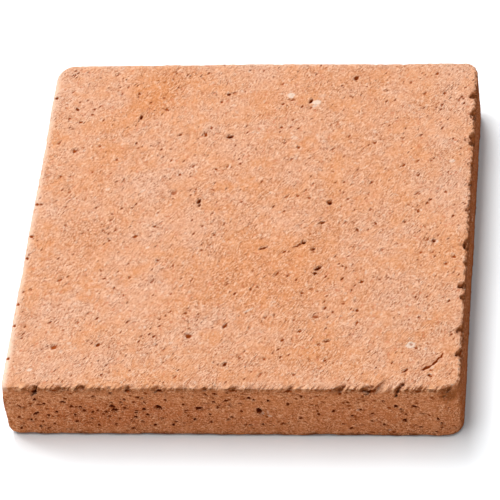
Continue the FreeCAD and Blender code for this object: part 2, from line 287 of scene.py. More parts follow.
FRONT_SPECKS = (
    (-85.5, 24.5), (-89, 10.5), (-69, 9.5), (-59.5, 7), (-54, 13), (-85.5, 6), (-82, 5), (-94.5, 4.5),
    (-59.5, 26.5), (-51.5, 29), (-52, 22.5), (-46, 24.5), (-48, 22.5), (-42, 15.5), (-25, 9.5), (-20.5, 21),
    (-7, 23), (-9.5, 9.5), (4.5, 22.5), (4.5, 17), (-34.5, 7), (56.5, 18), (61.5, 15), (61, 10), (66.5, 24),
    (74, 18.5), (82, 7), (91, 6.5), (88.5, 3.5), (13, 8), (7.5, 7.5), (38, 15), (44.5, 17), (52.5, 14),
    (51.5, 5.5), (31.5, 27), (-77, 16), (-69, 14), (-40, 26), (-28, 24), (0, 13), (17, 24), (30, 12), (66, 8),
    (-82, 21.5), (-81, 13.5), (-70, 19.5), (-55, 16), (-50, 17.5), (-42.5, 12.5), (-41.5, 17), (-37.5, 22.5),
    (-37, 14), (-62, 11.5), (-44.5, 4.5), (-39.5, 9.5), (-31, 11.5), (-26.5, 7), (-19.5, 17), (-9.5, 14.5),
    (-5.5, 19.5), (-16.5, 11), (-1.5, 24), (-1.5, 11.5), (0, 21),
)
FACE_SIZES = (
    (2.0, 1.0, 55, 0.6), (1.6, 1.1, 45, 0.8), (1.2, 1.2, 60, 0.6), (2.6, 0.9, 50, 0.6), (1.5, 1.3, 40, 0.7),
)
FRONT_SIZES = ((1.6, 1.2, 15, 1.1), (1.3, 1.2, 0, 1.3), (2.0, 1.0, 5, 1.0), (1.3, 1.4, 40, 1.0))
FACE_PITS += tuple(spot + FACE_SIZES[turn % len(FACE_SIZES)] for turn, spot in enumerate(FACE_SPECKS))
FRONT_PITS += tuple(spot + FRONT_SIZES[turn % len(FRONT_SIZES)] for turn, spot in enumerate(FRONT_SPECKS))

# How far along its own side each point lies, and how high; the hidden sides take the front's pits, the
# back and the left upside down.
HALFWAY_ROUND = 0.7
squarely = np.abs(normals[:, :2]).max(axis=1)
to_front = normals[:, 1] < -HALFWAY_ROUND
to_right = normals[:, 0] > HALFWAY_ROUND
to_back = normals[:, 1] > HALFWAY_ROUND
runs = [points[:, 0], points[:, 1], -points[:, 0]]
side_run = np.select([to_front, to_right, to_back], runs, -points[:, 1])
side_height = np.where(to_front | to_right, points[:, 2], THICKNESS - points[:, 2])
pit_spots = np.column_stack([side_run, side_height])
face_depth = pit_depths(points[:, :2], FACE_PITS)
side_depth = pit_depths(pit_spots, FRONT_PITS)
on_side = smooth(0.9, 0.99, squarely)
on_face = smooth(0.9, 0.99, faces_up)
on_front = smooth(0.9, 0.99, -normals[:, 1])

# Smaller pits over the whole surface: drawn out along the strike on the face, lying level on the sides.
warp = np.column_stack([ripple(points, 14.0, 3.0, 35), ripple(points, 14.0, 3.0, 36)])
face_grit = grit_pits((strike_spots + 0.45 * warp) * np.array([0.6, 1.0]), 10.0, 0.12, 31, 0.05, 0.08)
side_grit = grit_pits((side_spots + 0.35 * warp) * np.array([0.75, 1.0]), 4.6, 0.40, 33, 0.08, 0.17)
GRIT_DEPTH = 0.8
face_hollow = smooth(-0.2, 0.8, face_grit) * on_face
side_hollow = smooth(-0.2, 0.8, side_grit) * upright ** 4
grit_depth = GRIT_DEPTH * face_hollow + GRIT_DEPTH * side_hollow

# The crack round a flake at the front right corner: an arc bowed towards the corner, widest at its left
# end, pinched, wider again, and closing towards the right edge.
FLAKE_MIDDLE = np.array([77.0, -74.5])
FLAKE_RADIUS = 15.2
FLAKE_FROM, FLAKE_TO = -65.0, -19.0
CRACK_WIDTH, CRACK_DEPTH = 1.9, 0.8
CRACK_RUN = (-0.08, 0.02, 0.20, 0.36, 0.50, 0.68, 1.00, 1.08)
CRACK_SHARE = (0.0, 0.9, 1.0, 0.4, 0.8, 0.35, 0.25, 0.0)
from_flake = points[:, :2] - FLAKE_MIDDLE
flake_turn = np.degrees(np.arctan2(from_flake[:, 1], from_flake[:, 0]))
flake_gap = np.linalg.norm(from_flake, axis=1) - FLAKE_RADIUS + 0.25 * ripple(points[:, :2], 7.0, 2.5, 38)
along_crack = np.clip((flake_turn - FLAKE_FROM) / (FLAKE_TO - FLAKE_FROM), -0.5, 1.5)
opening = np.interp(along_crack, CRACK_RUN, CRACK_SHARE)
crack_depth = on_face * opening * CRACK_DEPTH * smooth(CRACK_WIDTH, 0.0, np.abs(flake_gap))

# Waves left by the frame and the strike, and the drag of the grit under the striking board.
SLOW_WAVE, MIDDLE_WAVE, DRAG_WAVE = 0.10, 0.05, 0.09
slow = ripple(points, 90.0, 30.0, 41)
middling = ripple(points, 16.0, 6.0, 42)
drag = ripple(np.column_stack([strike_spots * np.array([0.45, 1.0]), points[:, 2]]), 5.0, 1.8, 43, 70)
coarse = ripple(points * np.array([1.0, 1.0, 1.6]), 5.0, 1.8, 44, 70)
relief = SLOW_WAVE * (slow + 1.0) + MIDDLE_WAVE * (middling + 0.8)
relief = relief + DRAG_WAVE * (drag + 0.8) * faces_up + DRAG_WAVE * (coarse + 0.8) * upright
relief = np.clip(relief, 0.0, None) * np.clip(1 + normals[:, 2], 0.0, 1.0)
hand_set = np.maximum(face_depth * on_face, side_depth * on_side)
pit_depth = np.maximum(hand_set, np.maximum(grit_depth, crack_depth))
points = points - normals * (relief + pit_depth)[:, None]

# Out of true: the back edge falls short towards the right.
BACK_SHORTFALL = 0.8
towards_back = np.clip(points[:, 1], 0, None) / HALF_SIDE
points[:, 1] -= towards_back * BACK_SHORTFALL * smooth(10.0, 60.0, points[:, 0])

# Chips split off the top arris: the edge, the middle, the length, the reach into the wearing face, the
# drop down the side, and how far along the chip is deepest.
CHIPS = (
    ("right", 77, 8.0, 3.6, 5.4, 0.5), ("right", 65, 11.0, 4.0, 6.0, 0.4),
    ("right", 48, 11.0, 3.8, 6.0, 0.5), ("right", 33, 6.0, 2.4, 3.6, 0.5),
    ("right", 21, 5.0, 2.0, 3.0, 0.5), ("right", 5, 6.0, 2.0, 3.0, 0.5),
    ("right", -16, 10.0, 3.8, 6.0, 0.5), ("right", -27, 6.0, 2.2, 3.6, 0.5),
    ("right", -40, 9.0, 3.2, 5.2, 0.5), ("right", -47, 6.0, 2.4, 4.0, 0.5),
    ("right", -66, 10.0, 3.8, 6.4, 0.5), ("right", -79, 7.0, 3.2, 5.6, 0.5),
    ("front", -85.5, 5.0, 3.8, 4.4, 0.75), ("front", -73, 4.0, 2.4, 2.8, 0.75),
    ("front", -65, 5.0, 3.2, 3.6, 0.75), ("front", -53, 4.0, 2.0, 2.4, 0.7),
    ("front", -45, 5.0, 2.4, 3.6, 0.75), ("front", -32, 4.0, 2.2, 3.6, 0.8),
    ("front", -10.5, 3.0, 1.8, 2.8, 0.75), ("front", 2, 3.0, 1.6, 3.0, 0.7),
    ("front", 26, 4.0, 2.0, 3.2, 0.75), ("front", 48, 5.0, 2.8, 3.6, 0.75),
    ("front", 59.5, 6.5, 3.4, 4.4, 0.7), ("front", 74, 4.0, 4.2, 5.0, 0.4),
    ("front", 82.5, 3.0, 2.2, 3.2, 0.6), ("front", 87, 4.0, 2.2, 3.0, 0.7),
    ("front", 94, 5.0, 2.4, 3.6, 0.6),
)
NIBBLE_REACH, NIBBLE_FALL = 1.2, 2.4
NIBBLE = {"right": 0.5, "front": 0.8}
CHIP_HOLLOW = 0.2
DRAG_LEAN = 1 / math.tan(math.radians(STRIKE_ANGLE))
RIGHT_LEAN, SIDE_LEAN = 0.3, 0.35


def split_off(points, edge, reach, fall, profile):
    """Points above a broken facet are moved down and in, to it. The facet cuts the wearing face at reach x
    profile from the edge and the side at fall x profile below the top, so a point at in and down goes
    t = (profile - in / reach - down / fall) / 2 of the way along (reach, fall), and further by a bow
    4 u (1 - u) where u runs from 0 to 1 across the facet, so that its upper edge is steep. A facet that
    lies nearly level has no bow."""
    into = HALF_SIDE - points[:, 0] if edge == "right" else HALF_SIDE + points[:, 1]
    down = THICKNESS - points[:, 2]
    share = np.clip(profile - into / reach - down / fall, 0.0, None) / 2
    across = np.clip(0.5 + 0.5 * (into / reach - down / fall) / np.maximum(profile, 1e-6), 0.0, 1.0)
    if reach < fall * 1.5:
        share = share + np.where(share > 0, CHIP_HOLLOW * profile * 4 * across * (1 - across), 0.0)
    inward = np.array([-reach, 0.0, -fall]) if edge == "right" else np.array([0.0, reach, -fall])
    return points + share[:, None] * inward, share * math.hypot(reach, fall)


def run_along(points, edge):
    """How far along the right or front edge each point lies, slanted with the drag of the strike: its
    distance along the edge plus a lean times its distance in from the edge and, at the front, down."""
    down = THICKNESS - points[:, 2]
    if edge == "right":
        return points[:, 1] + RIGHT_LEAN * (HALF_SIDE - points[:, 0])
    return points[:, 0] - DRAG_LEAN * (HALF_SIDE + points[:, 1]) + SIDE_LEAN * down


# A tongue of clay dragged over the front arris: there the edge sags in a smooth bell, steeper on its left.
# Nibbles follow, deepest along the right and near the ends of the front, and then the chips.
TONGUE_REACH, TONGUE_FALL = 7.0, 4.2
along = run_along(points, "front")
sag = smooth(62.0, 64.5, along) * smooth(75.0, 64.5, along)
points = split_off(points, "front", TONGUE_REACH, TONGUE_FALL, sag)[0]
broken = np.zeros(len(points))
hurt = np.maximum(smooth(-52.0, -66.0, points[:, 0]), smooth(40.0, 54.0, points[:, 0])) * 0.5 + 0.5
hurt = hurt * smooth(-98.0, -91.0, points[:, 0])
ragged = 1 + 0.30 * ripple(points, 6.0, 2.0, 51)
for edge in ("right", "front"):
    along = run_along(points, edge)
    nibble = ripple(np.column_stack([along, 0.5 * points[:, 2]]), 8.0, 2.2, 52 + len(edge))
    bite = NIBBLE[edge] * hurt * np.clip(nibble - 0.2, 0, 1.3)
    points, push = split_off(points, edge, NIBBLE_REACH, NIBBLE_FALL, bite)
    broken = np.maximum(broken, push)
for edge, middle, length, reach, fall, deepest in CHIPS:
    share = (run_along(points, edge) - middle) / length + 0.5
    tent = np.clip(np.minimum(share / deepest, (1 - share) / (1 - deepest)), 0.0, 1.0)
    scoop = smooth(0.0, 1.0, tent) if edge == "right" else tent ** 0.8
    points, push = split_off(points, edge, reach, fall, scoop * ragged)
    broken = np.maximum(broken, push)

# The front right corner, broken away along a rough facet, with painted shade on the front below it.
CORNER_BREAK, CORNER_SINK = 3.8, 0.9
INTO_CORNER = np.array([-0.62, 0.62, -0.48])
CORNER_SHADE_MIDDLE, CORNER_SHADE_REACH = np.array([-4.5, 1.5, -5.5]), np.array([6.0, 6.0, 4.5])
top_corner = np.array([HALF_SIDE, -HALF_SIDE, THICKNESS])
facet = CORNER_BREAK * (1 + 0.2 * (ragged - 1))
past = np.clip(facet - (points - top_corner) @ INTO_CORNER, 0.0, None)
points = points + past[:, None] * INTO_CORNER * CORNER_SINK
# Painted shade: a dark patch on the front under the break, carried by the chips' mark.
from_corner_shade = np.linalg.norm((points - top_corner - CORNER_SHADE_MIDDLE) / CORNER_SHADE_REACH, axis=1)
broken = np.maximum(np.maximum(broken, 1.4 * past), 2.3 * smooth(1.2, 0.3, from_corner_shade))

# The bed face: the foot's last row carried in to the middle in scaled rings, flat on the floor.
BED_RINGS = (0.9, 0.5)
last_row = points[-columns:] * np.array([1.0, 1.0, 0.0])
points[-columns:, 2] = 0.0
bed = np.concatenate([last_row * share for share in BED_RINGS] + [np.zeros((1, 3))])
dressed = len(points)
points = np.concatenate([points, bed])
points = np.clip(points, [-HALF_SIDE, -HALF_SIDE, 0.0], [HALF_SIDE, HALF_SIDE, THICKNESS])

# Faces: the wearing face's squares, the band's squares, and a fan at the middle of the bed face.
squares = np.stack([grid[:-1, :-1], grid[:-1, 1:], grid[1:, 1:], grid[1:, :-1]], -1).reshape(-1, 4)
ring_points = np.arange((band_rows + len(BED_RINGS)) * columns).reshape(-1, columns)
rows = np.concatenate([loop[None], len(top) + ring_points])
beside = np.roll(rows, -1, axis=1)
walls = np.stack([rows[:-1], rows[1:], beside[1:], beside[:-1]], -1).reshape(-1, 4)
fan = np.stack([rows[-1], np.full(columns, len(points) - 1), beside[-1]], -1)

mesh = bpy.data.meshes.new("floor_tile_clay")
mesh.from_pydata((points * MM).tolist(), [], squares.tolist() + walls.tolist() + fan.tolist())
mesh.polygons.foreach_set("use_smooth", np.ones(len(mesh.polygons), dtype=bool))
flat_normals = np.empty(len(points) * 3, dtype=np.float32)
mesh.vertices.foreach_get("normal", flat_normals)
facing = flat_normals.reshape(-1, 3)[:dressed]
skin = points[:dressed]
blur = ripple(skin, 24.0, 3.0, 61, 60)


def blots(spots, listed, edge):
    """How strongly, from 0 to 1, each spot lies in the listed blots: full inside an ellipse, and falling in
    an even S across its soft edge, whose distance from the middle is made uneven by the blur."""
    mask = np.zeros(len(spots))
    for x, y, length, width, angle, strength in listed:
        off = turned(spots - np.array([x, y]), angle) / (np.array([length, width]) / 2)
        gap = np.linalg.norm(off, axis=1) * (1 + 0.25 * edge * blur)
        mask = np.maximum(mask, strength * (1 - smooth(1 - edge, 1 + edge, gap)))
    return mask


# Orange iron stains, pale bloom and white lime grains of the wearing face, and lime grains, darker brown
# blotches and reddened parts of the front: middle, length, width, lie and strength.
STAINS = (
    (-50, 78, 40, 22, 60, 1.0), (10, -38, 74, 46, 20, 0.8), (-15, -52, 40, 24, 30, 0.6),
    (-72, 30, 30, 18, 60, 0.5), (40, 88, 50, 14, 0, 0.5), (30, -80, 60, 18, 10, 0.5),
    (60, 20, 50, 20, 50, 0.35), (-60, -45, 40, 20, 50, 0.4), (0, 30, 60, 30, 40, 0.3),
    (11, -61, 46, 12, 5, 0.5), (7, -92, 44, 12, 0, 0.5), (-72, -13, 30, 24, 50, 0.5),
    (3, 75, 18, 16, 40, 0.6), (60, 57, 36, 22, 50, 0.35), (47, -46, 24, 14, 10, 0.4),
)
BLOOM = (
    (-64, -46, 44, 24, 20, 1.0), (-15, -64, 30, 20, 30, 1.0), (-9, 21, 30, 14, 40, 0.8),
    (25, 45, 26, 14, 30, 0.8), (-34, 56, 24, 14, 40, 0.7), (-90, 84, 16, 30, 0, 0.9),
    (63, -11, 30, 14, 20, 0.7), (-90, -20, 14, 50, 0, 0.6), (-40, -85, 50, 12, 0, 0.5),
    (70, -62, 30, 16, 30, 0.5),
)
LIME = (
    (13.3, 77.5, 4.4, 3.4, 5, 1.0), (25.6, 72.6, 4.4, 3.6, 10, 1.1), (25, 70.4, 3.0, 1.8, 30, 0.7),
    (28, 77, 4.0, 2.4, 20, 0.35), (17, 50, 3.6, 3.2, 0, 0.4), (-11.5, 32, 1.4, 1.8, 0, 0.7),
    (77.6, -74.9, 4.4, 4.0, 30, 1.0), (87.6, -87.6, 1.8, 1.2, 30, 0.5), (84, -77, 1.8, 1.2, 20, 0.6),
    (-88, -89.5, 2.6, 1.9, 30, 0.9), (-44, -18, 2.0, 1.6, 30, 0.7),
    (-40, -65, 1.4, 1.6, 0, 0.6), (-72.5, -74.5, 2.2, 2.0, 40, 0.5), (-75.5, -79, 1.6, 2.2, 0, 0.5),
    (5, -55, 5.0, 1.1, 30, 0.7), (85, -60, 1.8, 1.3, 0, 0.5), (90.5, 34.5, 2.8, 2.4, 20, 0.7),
    (86, -14.5, 1.4, 2.0, 0, 0.7), (78, 4.5, 1.3, 1.6, 0, 0.6), (-66.5, 18, 2.2, 2.4, 40, 0.45),
    (-50, 17, 3.6, 1.6, 45, 0.5), (55.5, -33, 1.2, 3.2, 0, 0.5), (51.5, -7.5, 1.3, 1.4, 0, 0.6),
)
FRONT_LIME = (
    (13.4, 15.9, 1.8, 2.2, 20, 0.45), (16.5, 14, 2.2, 1.2, -40, 0.45), (16, 16.6, 0.9, 2.6, 10, 0.3),
    (55.2, 18.1, 2.4, 1.4, 30, 0.3), (68, 4.5, 2.2, 1.2, 0, 0.4),
)
FRONT_DARK_BLOTS = (
    (-72, 28, 60, 9, 0, 0.9), (-95, 20, 16, 14, 0, 0.7), (-20, 27, 40, 6, 0, 0.4), (70, 25, 50, 8, 0, 0.4),
    (92, 14, 18, 20, 0, 0.5),
)
REDDENED = (
    (-48, 15, 64, 16, 0, 1.0), (0, 12, 50, 10, 0, 0.5), (55, 14, 40, 12, 0, 0.5), (-80, 8, 30, 8, 0, 0.4),
)

# Marks carried by the points for the clay's colours, worked out from how far each point lies in from the
# four edges and below the top.
LEFT_WEAR_AND_HIGHLIGHT, BACK_WEAR_AND_HIGHLIGHT = 0.9, 0.5
front_gap, right_gap = HALF_SIDE + skin[:, 1], HALF_SIDE - skin[:, 0]
back_gap, left_gap = HALF_SIDE - skin[:, 1], HALF_SIDE + skin[:, 0]
sunk = THICKNESS - skin[:, 2]
at_front = front_gap < right_gap
near_wear_and_highlight = smooth(4.2, 0.5, np.maximum(np.minimum(left_gap, back_gap), sunk))
near_wear_and_highlight = near_wear_and_highlight * np.where(left_gap < back_gap, LEFT_WEAR_AND_HIGHLIGHT, BACK_WEAR_AND_HIGHLIGHT)
# Stronger towards the front left: painted highlight on the rounded left arris.
near_wear_and_highlight = near_wear_and_highlight * (1 + 0.6 * smooth(-50.0, -80.0, skin[:, 1]))
near_knocks = smooth(3.6, 0.4, np.maximum(np.minimum(right_gap, front_gap), sunk))
near_knocks = near_knocks * smooth(-99.0, -92.0, skin[:, 0])
under_arris_shade_band = smooth(0.3, 0.9, sunk) * smooth(4.4, 1.4, sunk)
front_spots = np.column_stack([skin[:, 0], skin[:, 2]])
marks = {
    "grit": np.where(on_face > 0.5, face_grit, np.where(upright > 0.5, side_grit, -1.0)),
    "crack_gap": np.clip(flake_gap, -4.0, 4.0),
    "crack_opening": opening * (on_face > 0.5),
    # Painted shade on chip facets and the corner break, the steeper the darker.
    "broken": np.clip(broken / 2.5, 0, 1) * smooth(0.92, 0.6, facing[:, 2]),
    "faces_up": facing[:, 2],
    # Paler left and back arrises: wear, and painted highlight.
    "worn": near_wear_and_highlight * (1 - near_knocks),
    "torn": near_knocks * np.where(at_front, 0.5 + 0.5 * hurt, 0.0),
    "combed": run_along(skin, "front"),
    # Painted shade in a band under the front arris.
    "lip": under_arris_shade_band * smooth(1.6, 0.6, front_gap) * at_front,
    "scalloped": smooth(1.8, 0.4, right_gap) * smooth(10.0, 4.0, sunk) * (1 - at_front),
    "stain": blots(skin[:, :2], STAINS, 0.7) * on_face,
    "bloom": blots(skin[:, :2], BLOOM, 0.8) * on_face,
    # Darker brown blotches on the front, most along its top.
    "front_dark": blots(front_spots, FRONT_DARK_BLOTS, 0.6) * on_front,
    # Painted shade along the foot, where it meets the floor.
    "foot": smooth(2.4, 0.9, skin[:, 2] + 0.3 * blur),
    # Painted shade: the right side, turned from the light, is coloured darker.
    "shaded": smooth(0.7, 0.98, normals[:, 0]),
    "reddened": blots(front_spots, REDDENED, 0.6) * on_front,
}
FULL_PIT = 1.3
UPWARD, SIDEWAYS = 0.3, 0.95


def within_spots(spots, listed):
    """For each corner of each square, where it lies in the listed spot nearest to that square's middle, in
    half lengths along it and half widths across it, and how strongly that spot shows: its depth or strength
    as a share of a full pit's."""
    corners = spots[quads]
    middles = corners.mean(axis=1)
    nearest, owner = np.full(len(quads), np.inf), np.zeros(len(quads), dtype=int)
    for turn, (x, y, length, width, angle, strength) in enumerate(listed):
        far = np.linalg.norm(turned(middles - np.array([x, y]), angle) / np.array([length, width]), axis=1)
        owner = np.where(far < nearest, turn, owner)
        nearest = np.minimum(nearest, far)
    x, y, length, width, angle, strength = np.array(listed)[owner].T[..., None]
    c, s = np.cos(np.radians(angle)), np.sin(np.radians(angle))
    rightward, ahead = corners[..., 0] - x, corners[..., 1] - y
    along = (rightward * c + ahead * s) / (length / 2)
    across = (ahead * c - rightward * s) / (width / 2)
    shows = np.broadcast_to(np.minimum(strength / FULL_PIT, 1.0), along.shape)
    return np.stack([along, across, shows], -1)


quads = np.concatenate([squares, walls])
outward = np.concatenate([normals, np.tile([0.0, 0.0, -1.0], (len(bed), 1))])[quads].mean(axis=1)
upward = outward[:, 2] > UPWARD
sideways = np.abs(outward[:, :2]).max(axis=1) > SIDEWAYS
side_places = np.concatenate([pit_spots, np.zeros((len(bed), 2))])
for name, face_list, side_list in (("pit", FACE_PITS, FRONT_PITS), ("lime", LIME, FRONT_LIME)):
    within_face = within_spots(points[:, :2], face_list)
    within_side = within_spots(side_places, side_list)
    within = np.where(sideways[:, None, None], within_side, within_face)
    within[..., 2] *= (upward | sideways)[:, None]
    within = np.concatenate([within.reshape(-1, 3), np.zeros((fan.size, 3))])
    layer = mesh.attributes.new(name, "FLOAT_VECTOR", "CORNER")
    layer.data.foreach_set("vector", within.astype(np.float32).ravel())
for name, values in marks.items():
    layer = mesh.attributes.new(name, "FLOAT", "POINT")
    values = np.concatenate([values, np.zeros(len(bed))])
    layer.data.foreach_set("value", values.astype(np.float32))
mesh.update()
tile = bpy.data.objects.new("floor_tile_fired", mesh)
bpy.context.scene.collection.objects.link(tile)


class Tone:
    """One output of the clay's shader. Sums on tones add the Math nodes that work them out."""

    def __init__(self, tree, socket=None):
        """Keeps the shader's tree and, for all but the first tone, the output that it stands for."""
        self.tree = tree
        self.socket = socket

    def node(self, kind, settings, sockets, output=0):
        """Adds a node of this kind: its settings first, then the values or links of its sockets."""
        made = self.tree.nodes.new(kind)
        for name, value in settings.items():
            setattr(made, name, value)
        for name, value in sockets.items():
            if isinstance(value, Tone):
                self.tree.links.new(value.socket, made.inputs[name])
            else:
                made.inputs[name].default_value = value
        return Tone(self.tree, made.outputs[output])

    def beside(self, output):
        """Another output of the same node."""
        return Tone(self.tree, self.socket.node.outputs[output])

    def math(self, operation, *values):
        """The result of one Math node on these tones or numbers."""
        return self.node("ShaderNodeMath", {"operation": operation}, dict(enumerate(values)))

    def greater(self, other):
        """The greater of this tone and another."""
        return self.math("MAXIMUM", self, other)

    def __add__(self, other):
        """This tone plus another."""
        return self.math("ADD", self, other)

    def __radd__(self, other):
        """A number plus this tone."""
        return self.math("ADD", other, self)

    def __sub__(self, other):
        """This tone less another."""
        return self.math("SUBTRACT", self, other)

    def __rsub__(self, other):
        """A number less this tone."""
        return self.math("SUBTRACT", other, self)

    def __mul__(self, other):
        """This tone times another."""
        return self.math("MULTIPLY", self, other)

    def __rmul__(self, other):
        """A number times this tone."""
        return self.math("MULTIPLY", other, self)

    def between(self, low, high, kind="SMOOTHSTEP"):
        """0 at low, 1 at high, and an even S between them, or a straight line."""
        settings = {"interpolation_type": kind}
        return self.node("ShaderNodeMapRange", settings, {"Value": self, "From Min": low, "From Max": high})

    def over(self, under, colour):
        """This colour laid over another as strongly as this tone says."""
        return self.node("ShaderNodeMix", {"data_type": "RGBA"}, {0: self, 6: under, 7: colour}, 2)


clay = bpy.data.materials.new("fired_clay")
clay.use_nodes = True
recipe = Tone(clay.node_tree)
shader = clay.node_tree.nodes["Principled BSDF"]
place = recipe.node("ShaderNodeTexCoord", {}, {}, "Object")


def mark(name):
    """The value of a mark that the tile's points carry."""
    return recipe.node("ShaderNodeAttribute", {"attribute_name": name}, {}, "Fac")


def laid_along(angle, stretch):
    """The clay's own coordinates drawn out along a line at this angle in plan, by these factors."""
    sockets = {"Vector": place, "Rotation": (0.0, 0.0, math.radians(angle)), "Scale": stretch}
    return recipe.node("ShaderNodeMapping", {"vector_type": "TEXTURE"}, sockets)


def mottle(where, size, detail=2.0, roughness=0.55):
    """Smooth noise about nought, whose blotches are this many millimetres across."""
    sockets = {"Vector": where, "Scale": 1 / (size * MM), "Detail": detail, "Roughness": roughness}
    return recipe.node("ShaderNodeTexNoise", {}, sockets, "Fac") - 0.5


def mottle_along(run, size):
    """Smooth noise about nought along a single line, whose strokes are this many millimetres wide."""
    sockets = {"W": run, "Scale": 1 / size, "Detail": 2.0, "Roughness": 0.6}
    return recipe.node("ShaderNodeTexNoise", {"noise_dimensions": "1D"}, sockets, "Fac") - 0.5


def grains(where, size):
    """Packed grains this many millimetres across: a random tone for each, from -0.5 to 0.5."""
    sockets = {"Vector": where, "Scale": 1 / (size * MM)}
    cell = recipe.node("ShaderNodeTexVoronoi", {}, sockets, "Color")
    return recipe.node("ShaderNodeSeparateColor", {}, {0: cell}) - 0.5


def voids(where, spacing, share, largest):
    """How far inside the nearest round void cut open by the surface, as its radius less the distance from its
    middle, in the spacing of the clay's cells. A share of the cells, this many millimetres apart, hold one,
    of a radius that differs from void to void."""
    cell = recipe.node("ShaderNodeTexVoronoi", {}, {"Vector": where, "Scale": 1 / (spacing * MM)}, "Distance")
    chance = recipe.node("ShaderNodeSeparateColor", {}, {0: cell.beside("Color")})
    radius = chance.between(1 - share, 1.0, "LINEAR") * largest
    return radius - cell - 0.6 * (1 - chance.between(1 - share, 1.02 - share))


def swirled(where, size, amount):
    """Coordinates pushed about by noise, up to half this many millimetres each way, so that what is drawn on
    them has uneven outlines."""
    sockets = {"Vector": where, "Scale": 1 / (size * MM), "Detail": 1.0}
    noise = recipe.node("ShaderNodeTexNoise", {}, sockets, "Color")
    centred = recipe.node("ShaderNodeVectorMath", {"operation": "SUBTRACT"}, {0: noise, 1: (0.5, 0.5, 0.5)})
    scaled = recipe.node("ShaderNodeVectorMath", {"operation": "SCALE"}, {0: centred, "Scale": amount * MM})
    return recipe.node("ShaderNodeVectorMath", {"operation": "ADD"}, {0: where, 1: scaled})


# The clay's colours: pale and deep grains of the face and the sides, the clay between them, and what lies on
# it or shows in its hollows. Much of it is painted light: shade on the sides, the right side, chips, torn
# arrises, the band under the front arris, the foot and the hollows, and highlight on the left and back
# arrises, pit rims, torn ridges and one side of the crack.
FACE_PALE, FACE_DEEP = (0.79, 0.50, 0.35, 1.0), (0.31, 0.084, 0.021, 1.0)
FACE_ORANGE, FACE_ROSE = (0.590, 0.264, 0.126, 1.0), (0.620, 0.340, 0.222, 1.0)
SIDE_PALE, SIDE_DEEP = (0.86, 0.44, 0.245, 1.0), (0.22, 0.038, 0.005, 1.0)
# The sides are the face's clay, given a deeper, redder colour as painted shade.
SIDE_CLAY_IN_SHADE = (0.555, 0.188, 0.069, 1.0)
STAIN_CLAY = (0.57, 0.228, 0.090, 1.0)
BLOOM_ROSE = (0.63, 0.365, 0.250, 1.0)
# Pale of the worn arrises, and of the painted highlight on them.
WORN_PALE_AND_HIGHLIGHT = (0.84, 0.64, 0.51, 1.0)
LIME_WHITE = (0.69, 0.51, 0.40, 1.0)
RED_GRAIN = (0.50, 0.16, 0.075, 1.0)
# Darker brown of blotches on the front.
FRONT_DARK_BROWN = (0.42, 0.165, 0.075, 1.0)
REDDENED_CLAY = (0.46, 0.12, 0.035, 1.0)
# Painted shade of the right side.
RIGHT_SIDE_SHADE_BROWN = (0.27, 0.064, 0.010, 1.0)
# Painted shade of chip facets.
CHIP_SHADE_CLAY = (0.40, 0.12, 0.036, 1.0)
# Painted shade in torn strokes, bites, deep chips and under the front arris; painted highlight on torn
# ridges.
PAINTED_SHADE_DARK, RIDGE_HIGHLIGHT_PALE = (0.21, 0.056, 0.013, 1.0), (0.78, 0.42, 0.23, 1.0)
# Painted shade in pits, voids, grit holes and the crack.
HOLLOW_SHADE_BROWN = (0.28, 0.056, 0.009, 1.0)
PIT_SHADE_DARK = (0.085, 0.009, 0.001, 1.0)
# Painted shade of the foot.
FOOT_SHADE_DARK = (0.11, 0.03, 0.009, 1.0)

# Grain and voids: drawn out along the strike on the face, lying level on the sides.
up = mark("faces_up").between(0.25, 0.95)
strike = laid_along(STRIKE_ANGLE, (2.4, 1.0, 1.0))
bedding = laid_along(0.0, (1.25, 1.25, 1.0))
sand = grains(place, 0.42)
gravel = grains(place, 1.1)
streak = mottle(strike, 0.65, 1.0, 0.5)
scratch = mottle(laid_along(STRIKE_ANGLE, (3.0, 1.0, 1.0)), 0.42, 0.0, 0.5)
level_grain = mottle(bedding, 0.75, 1.0, 0.5)
dapple = mottle(place, 4.0, 2.0)
patch = mottle(place, 9.0, 2.0)
cloud = mottle(place, 26.0, 3.0, 0.6)
uneven = (patch + 0.6 * dapple).between(-0.2, 0.2) * 0.7 + 0.65
grain = (up * streak + (1 - up) * level_grain * 1.15) * uneven
crowded = mottle(place, 13.0, 2.0).between(-0.15, 0.15)
struck = laid_along(STRIKE_ANGLE, (2.0, 1.0, 1.0))
face_voids = voids(swirled(struck, 1.0, 0.6), 1.5, 0.38, crowded * 0.16 + 0.24)
side_voids = voids(swirled(bedding, 1.0, 0.7), 1.8, 0.6, crowded * 0.24 + 0.24)
pores = voids(swirled(strike, 0.6, 0.3), 0.95, 0.4, 0.34)
inside_void = up * face_voids + (1 - up) * side_voids
void = inside_void.between(0.0, 0.2, "LINEAR").greater(pores.between(0.0, 0.2, "LINEAR") * 0.6)
SPOT_REACH, SPOT_FRAY = 1.2, 1.2


def inside_spot(name):
    """How far each point lies inside the nearest listed spot, which is its reach less the distance from
    its middle in half lengths and half widths, frayed by the streaks, and how strongly that spot shows."""
    vector = recipe.node("ShaderNodeAttribute", {"attribute_name": name}, {}, "Vector")
    along = recipe.node("ShaderNodeSeparateXYZ", {}, {0: vector})
    across = along.beside("Y")
    off_middle = recipe.math("SQRT", along * along + across * across)
    return SPOT_REACH - off_middle * (1 + SPOT_FRAY * streak), along.beside("Z")


inside_pit, pit_shows = inside_spot("pit")
inside_lime, lime_shows = inside_spot("lime")
pit = inside_pit.between(0.0, 0.55, "LINEAR") * pit_shows
# Pale rims round the pits: rubbed burrs, and painted highlight.
rim = inside_pit.between(-0.5, -0.1) * (0 - inside_pit).between(-0.1, 0.1)
rim = rim * scratch.between(-0.06, 0.10) * pit_shows
dent = inside_void.between(-0.14, 0.16).greater(inside_pit.between(-0.6, 0.7) * pit_shows)
grit = mark("grit").between(-0.2, 0.6, "LINEAR")

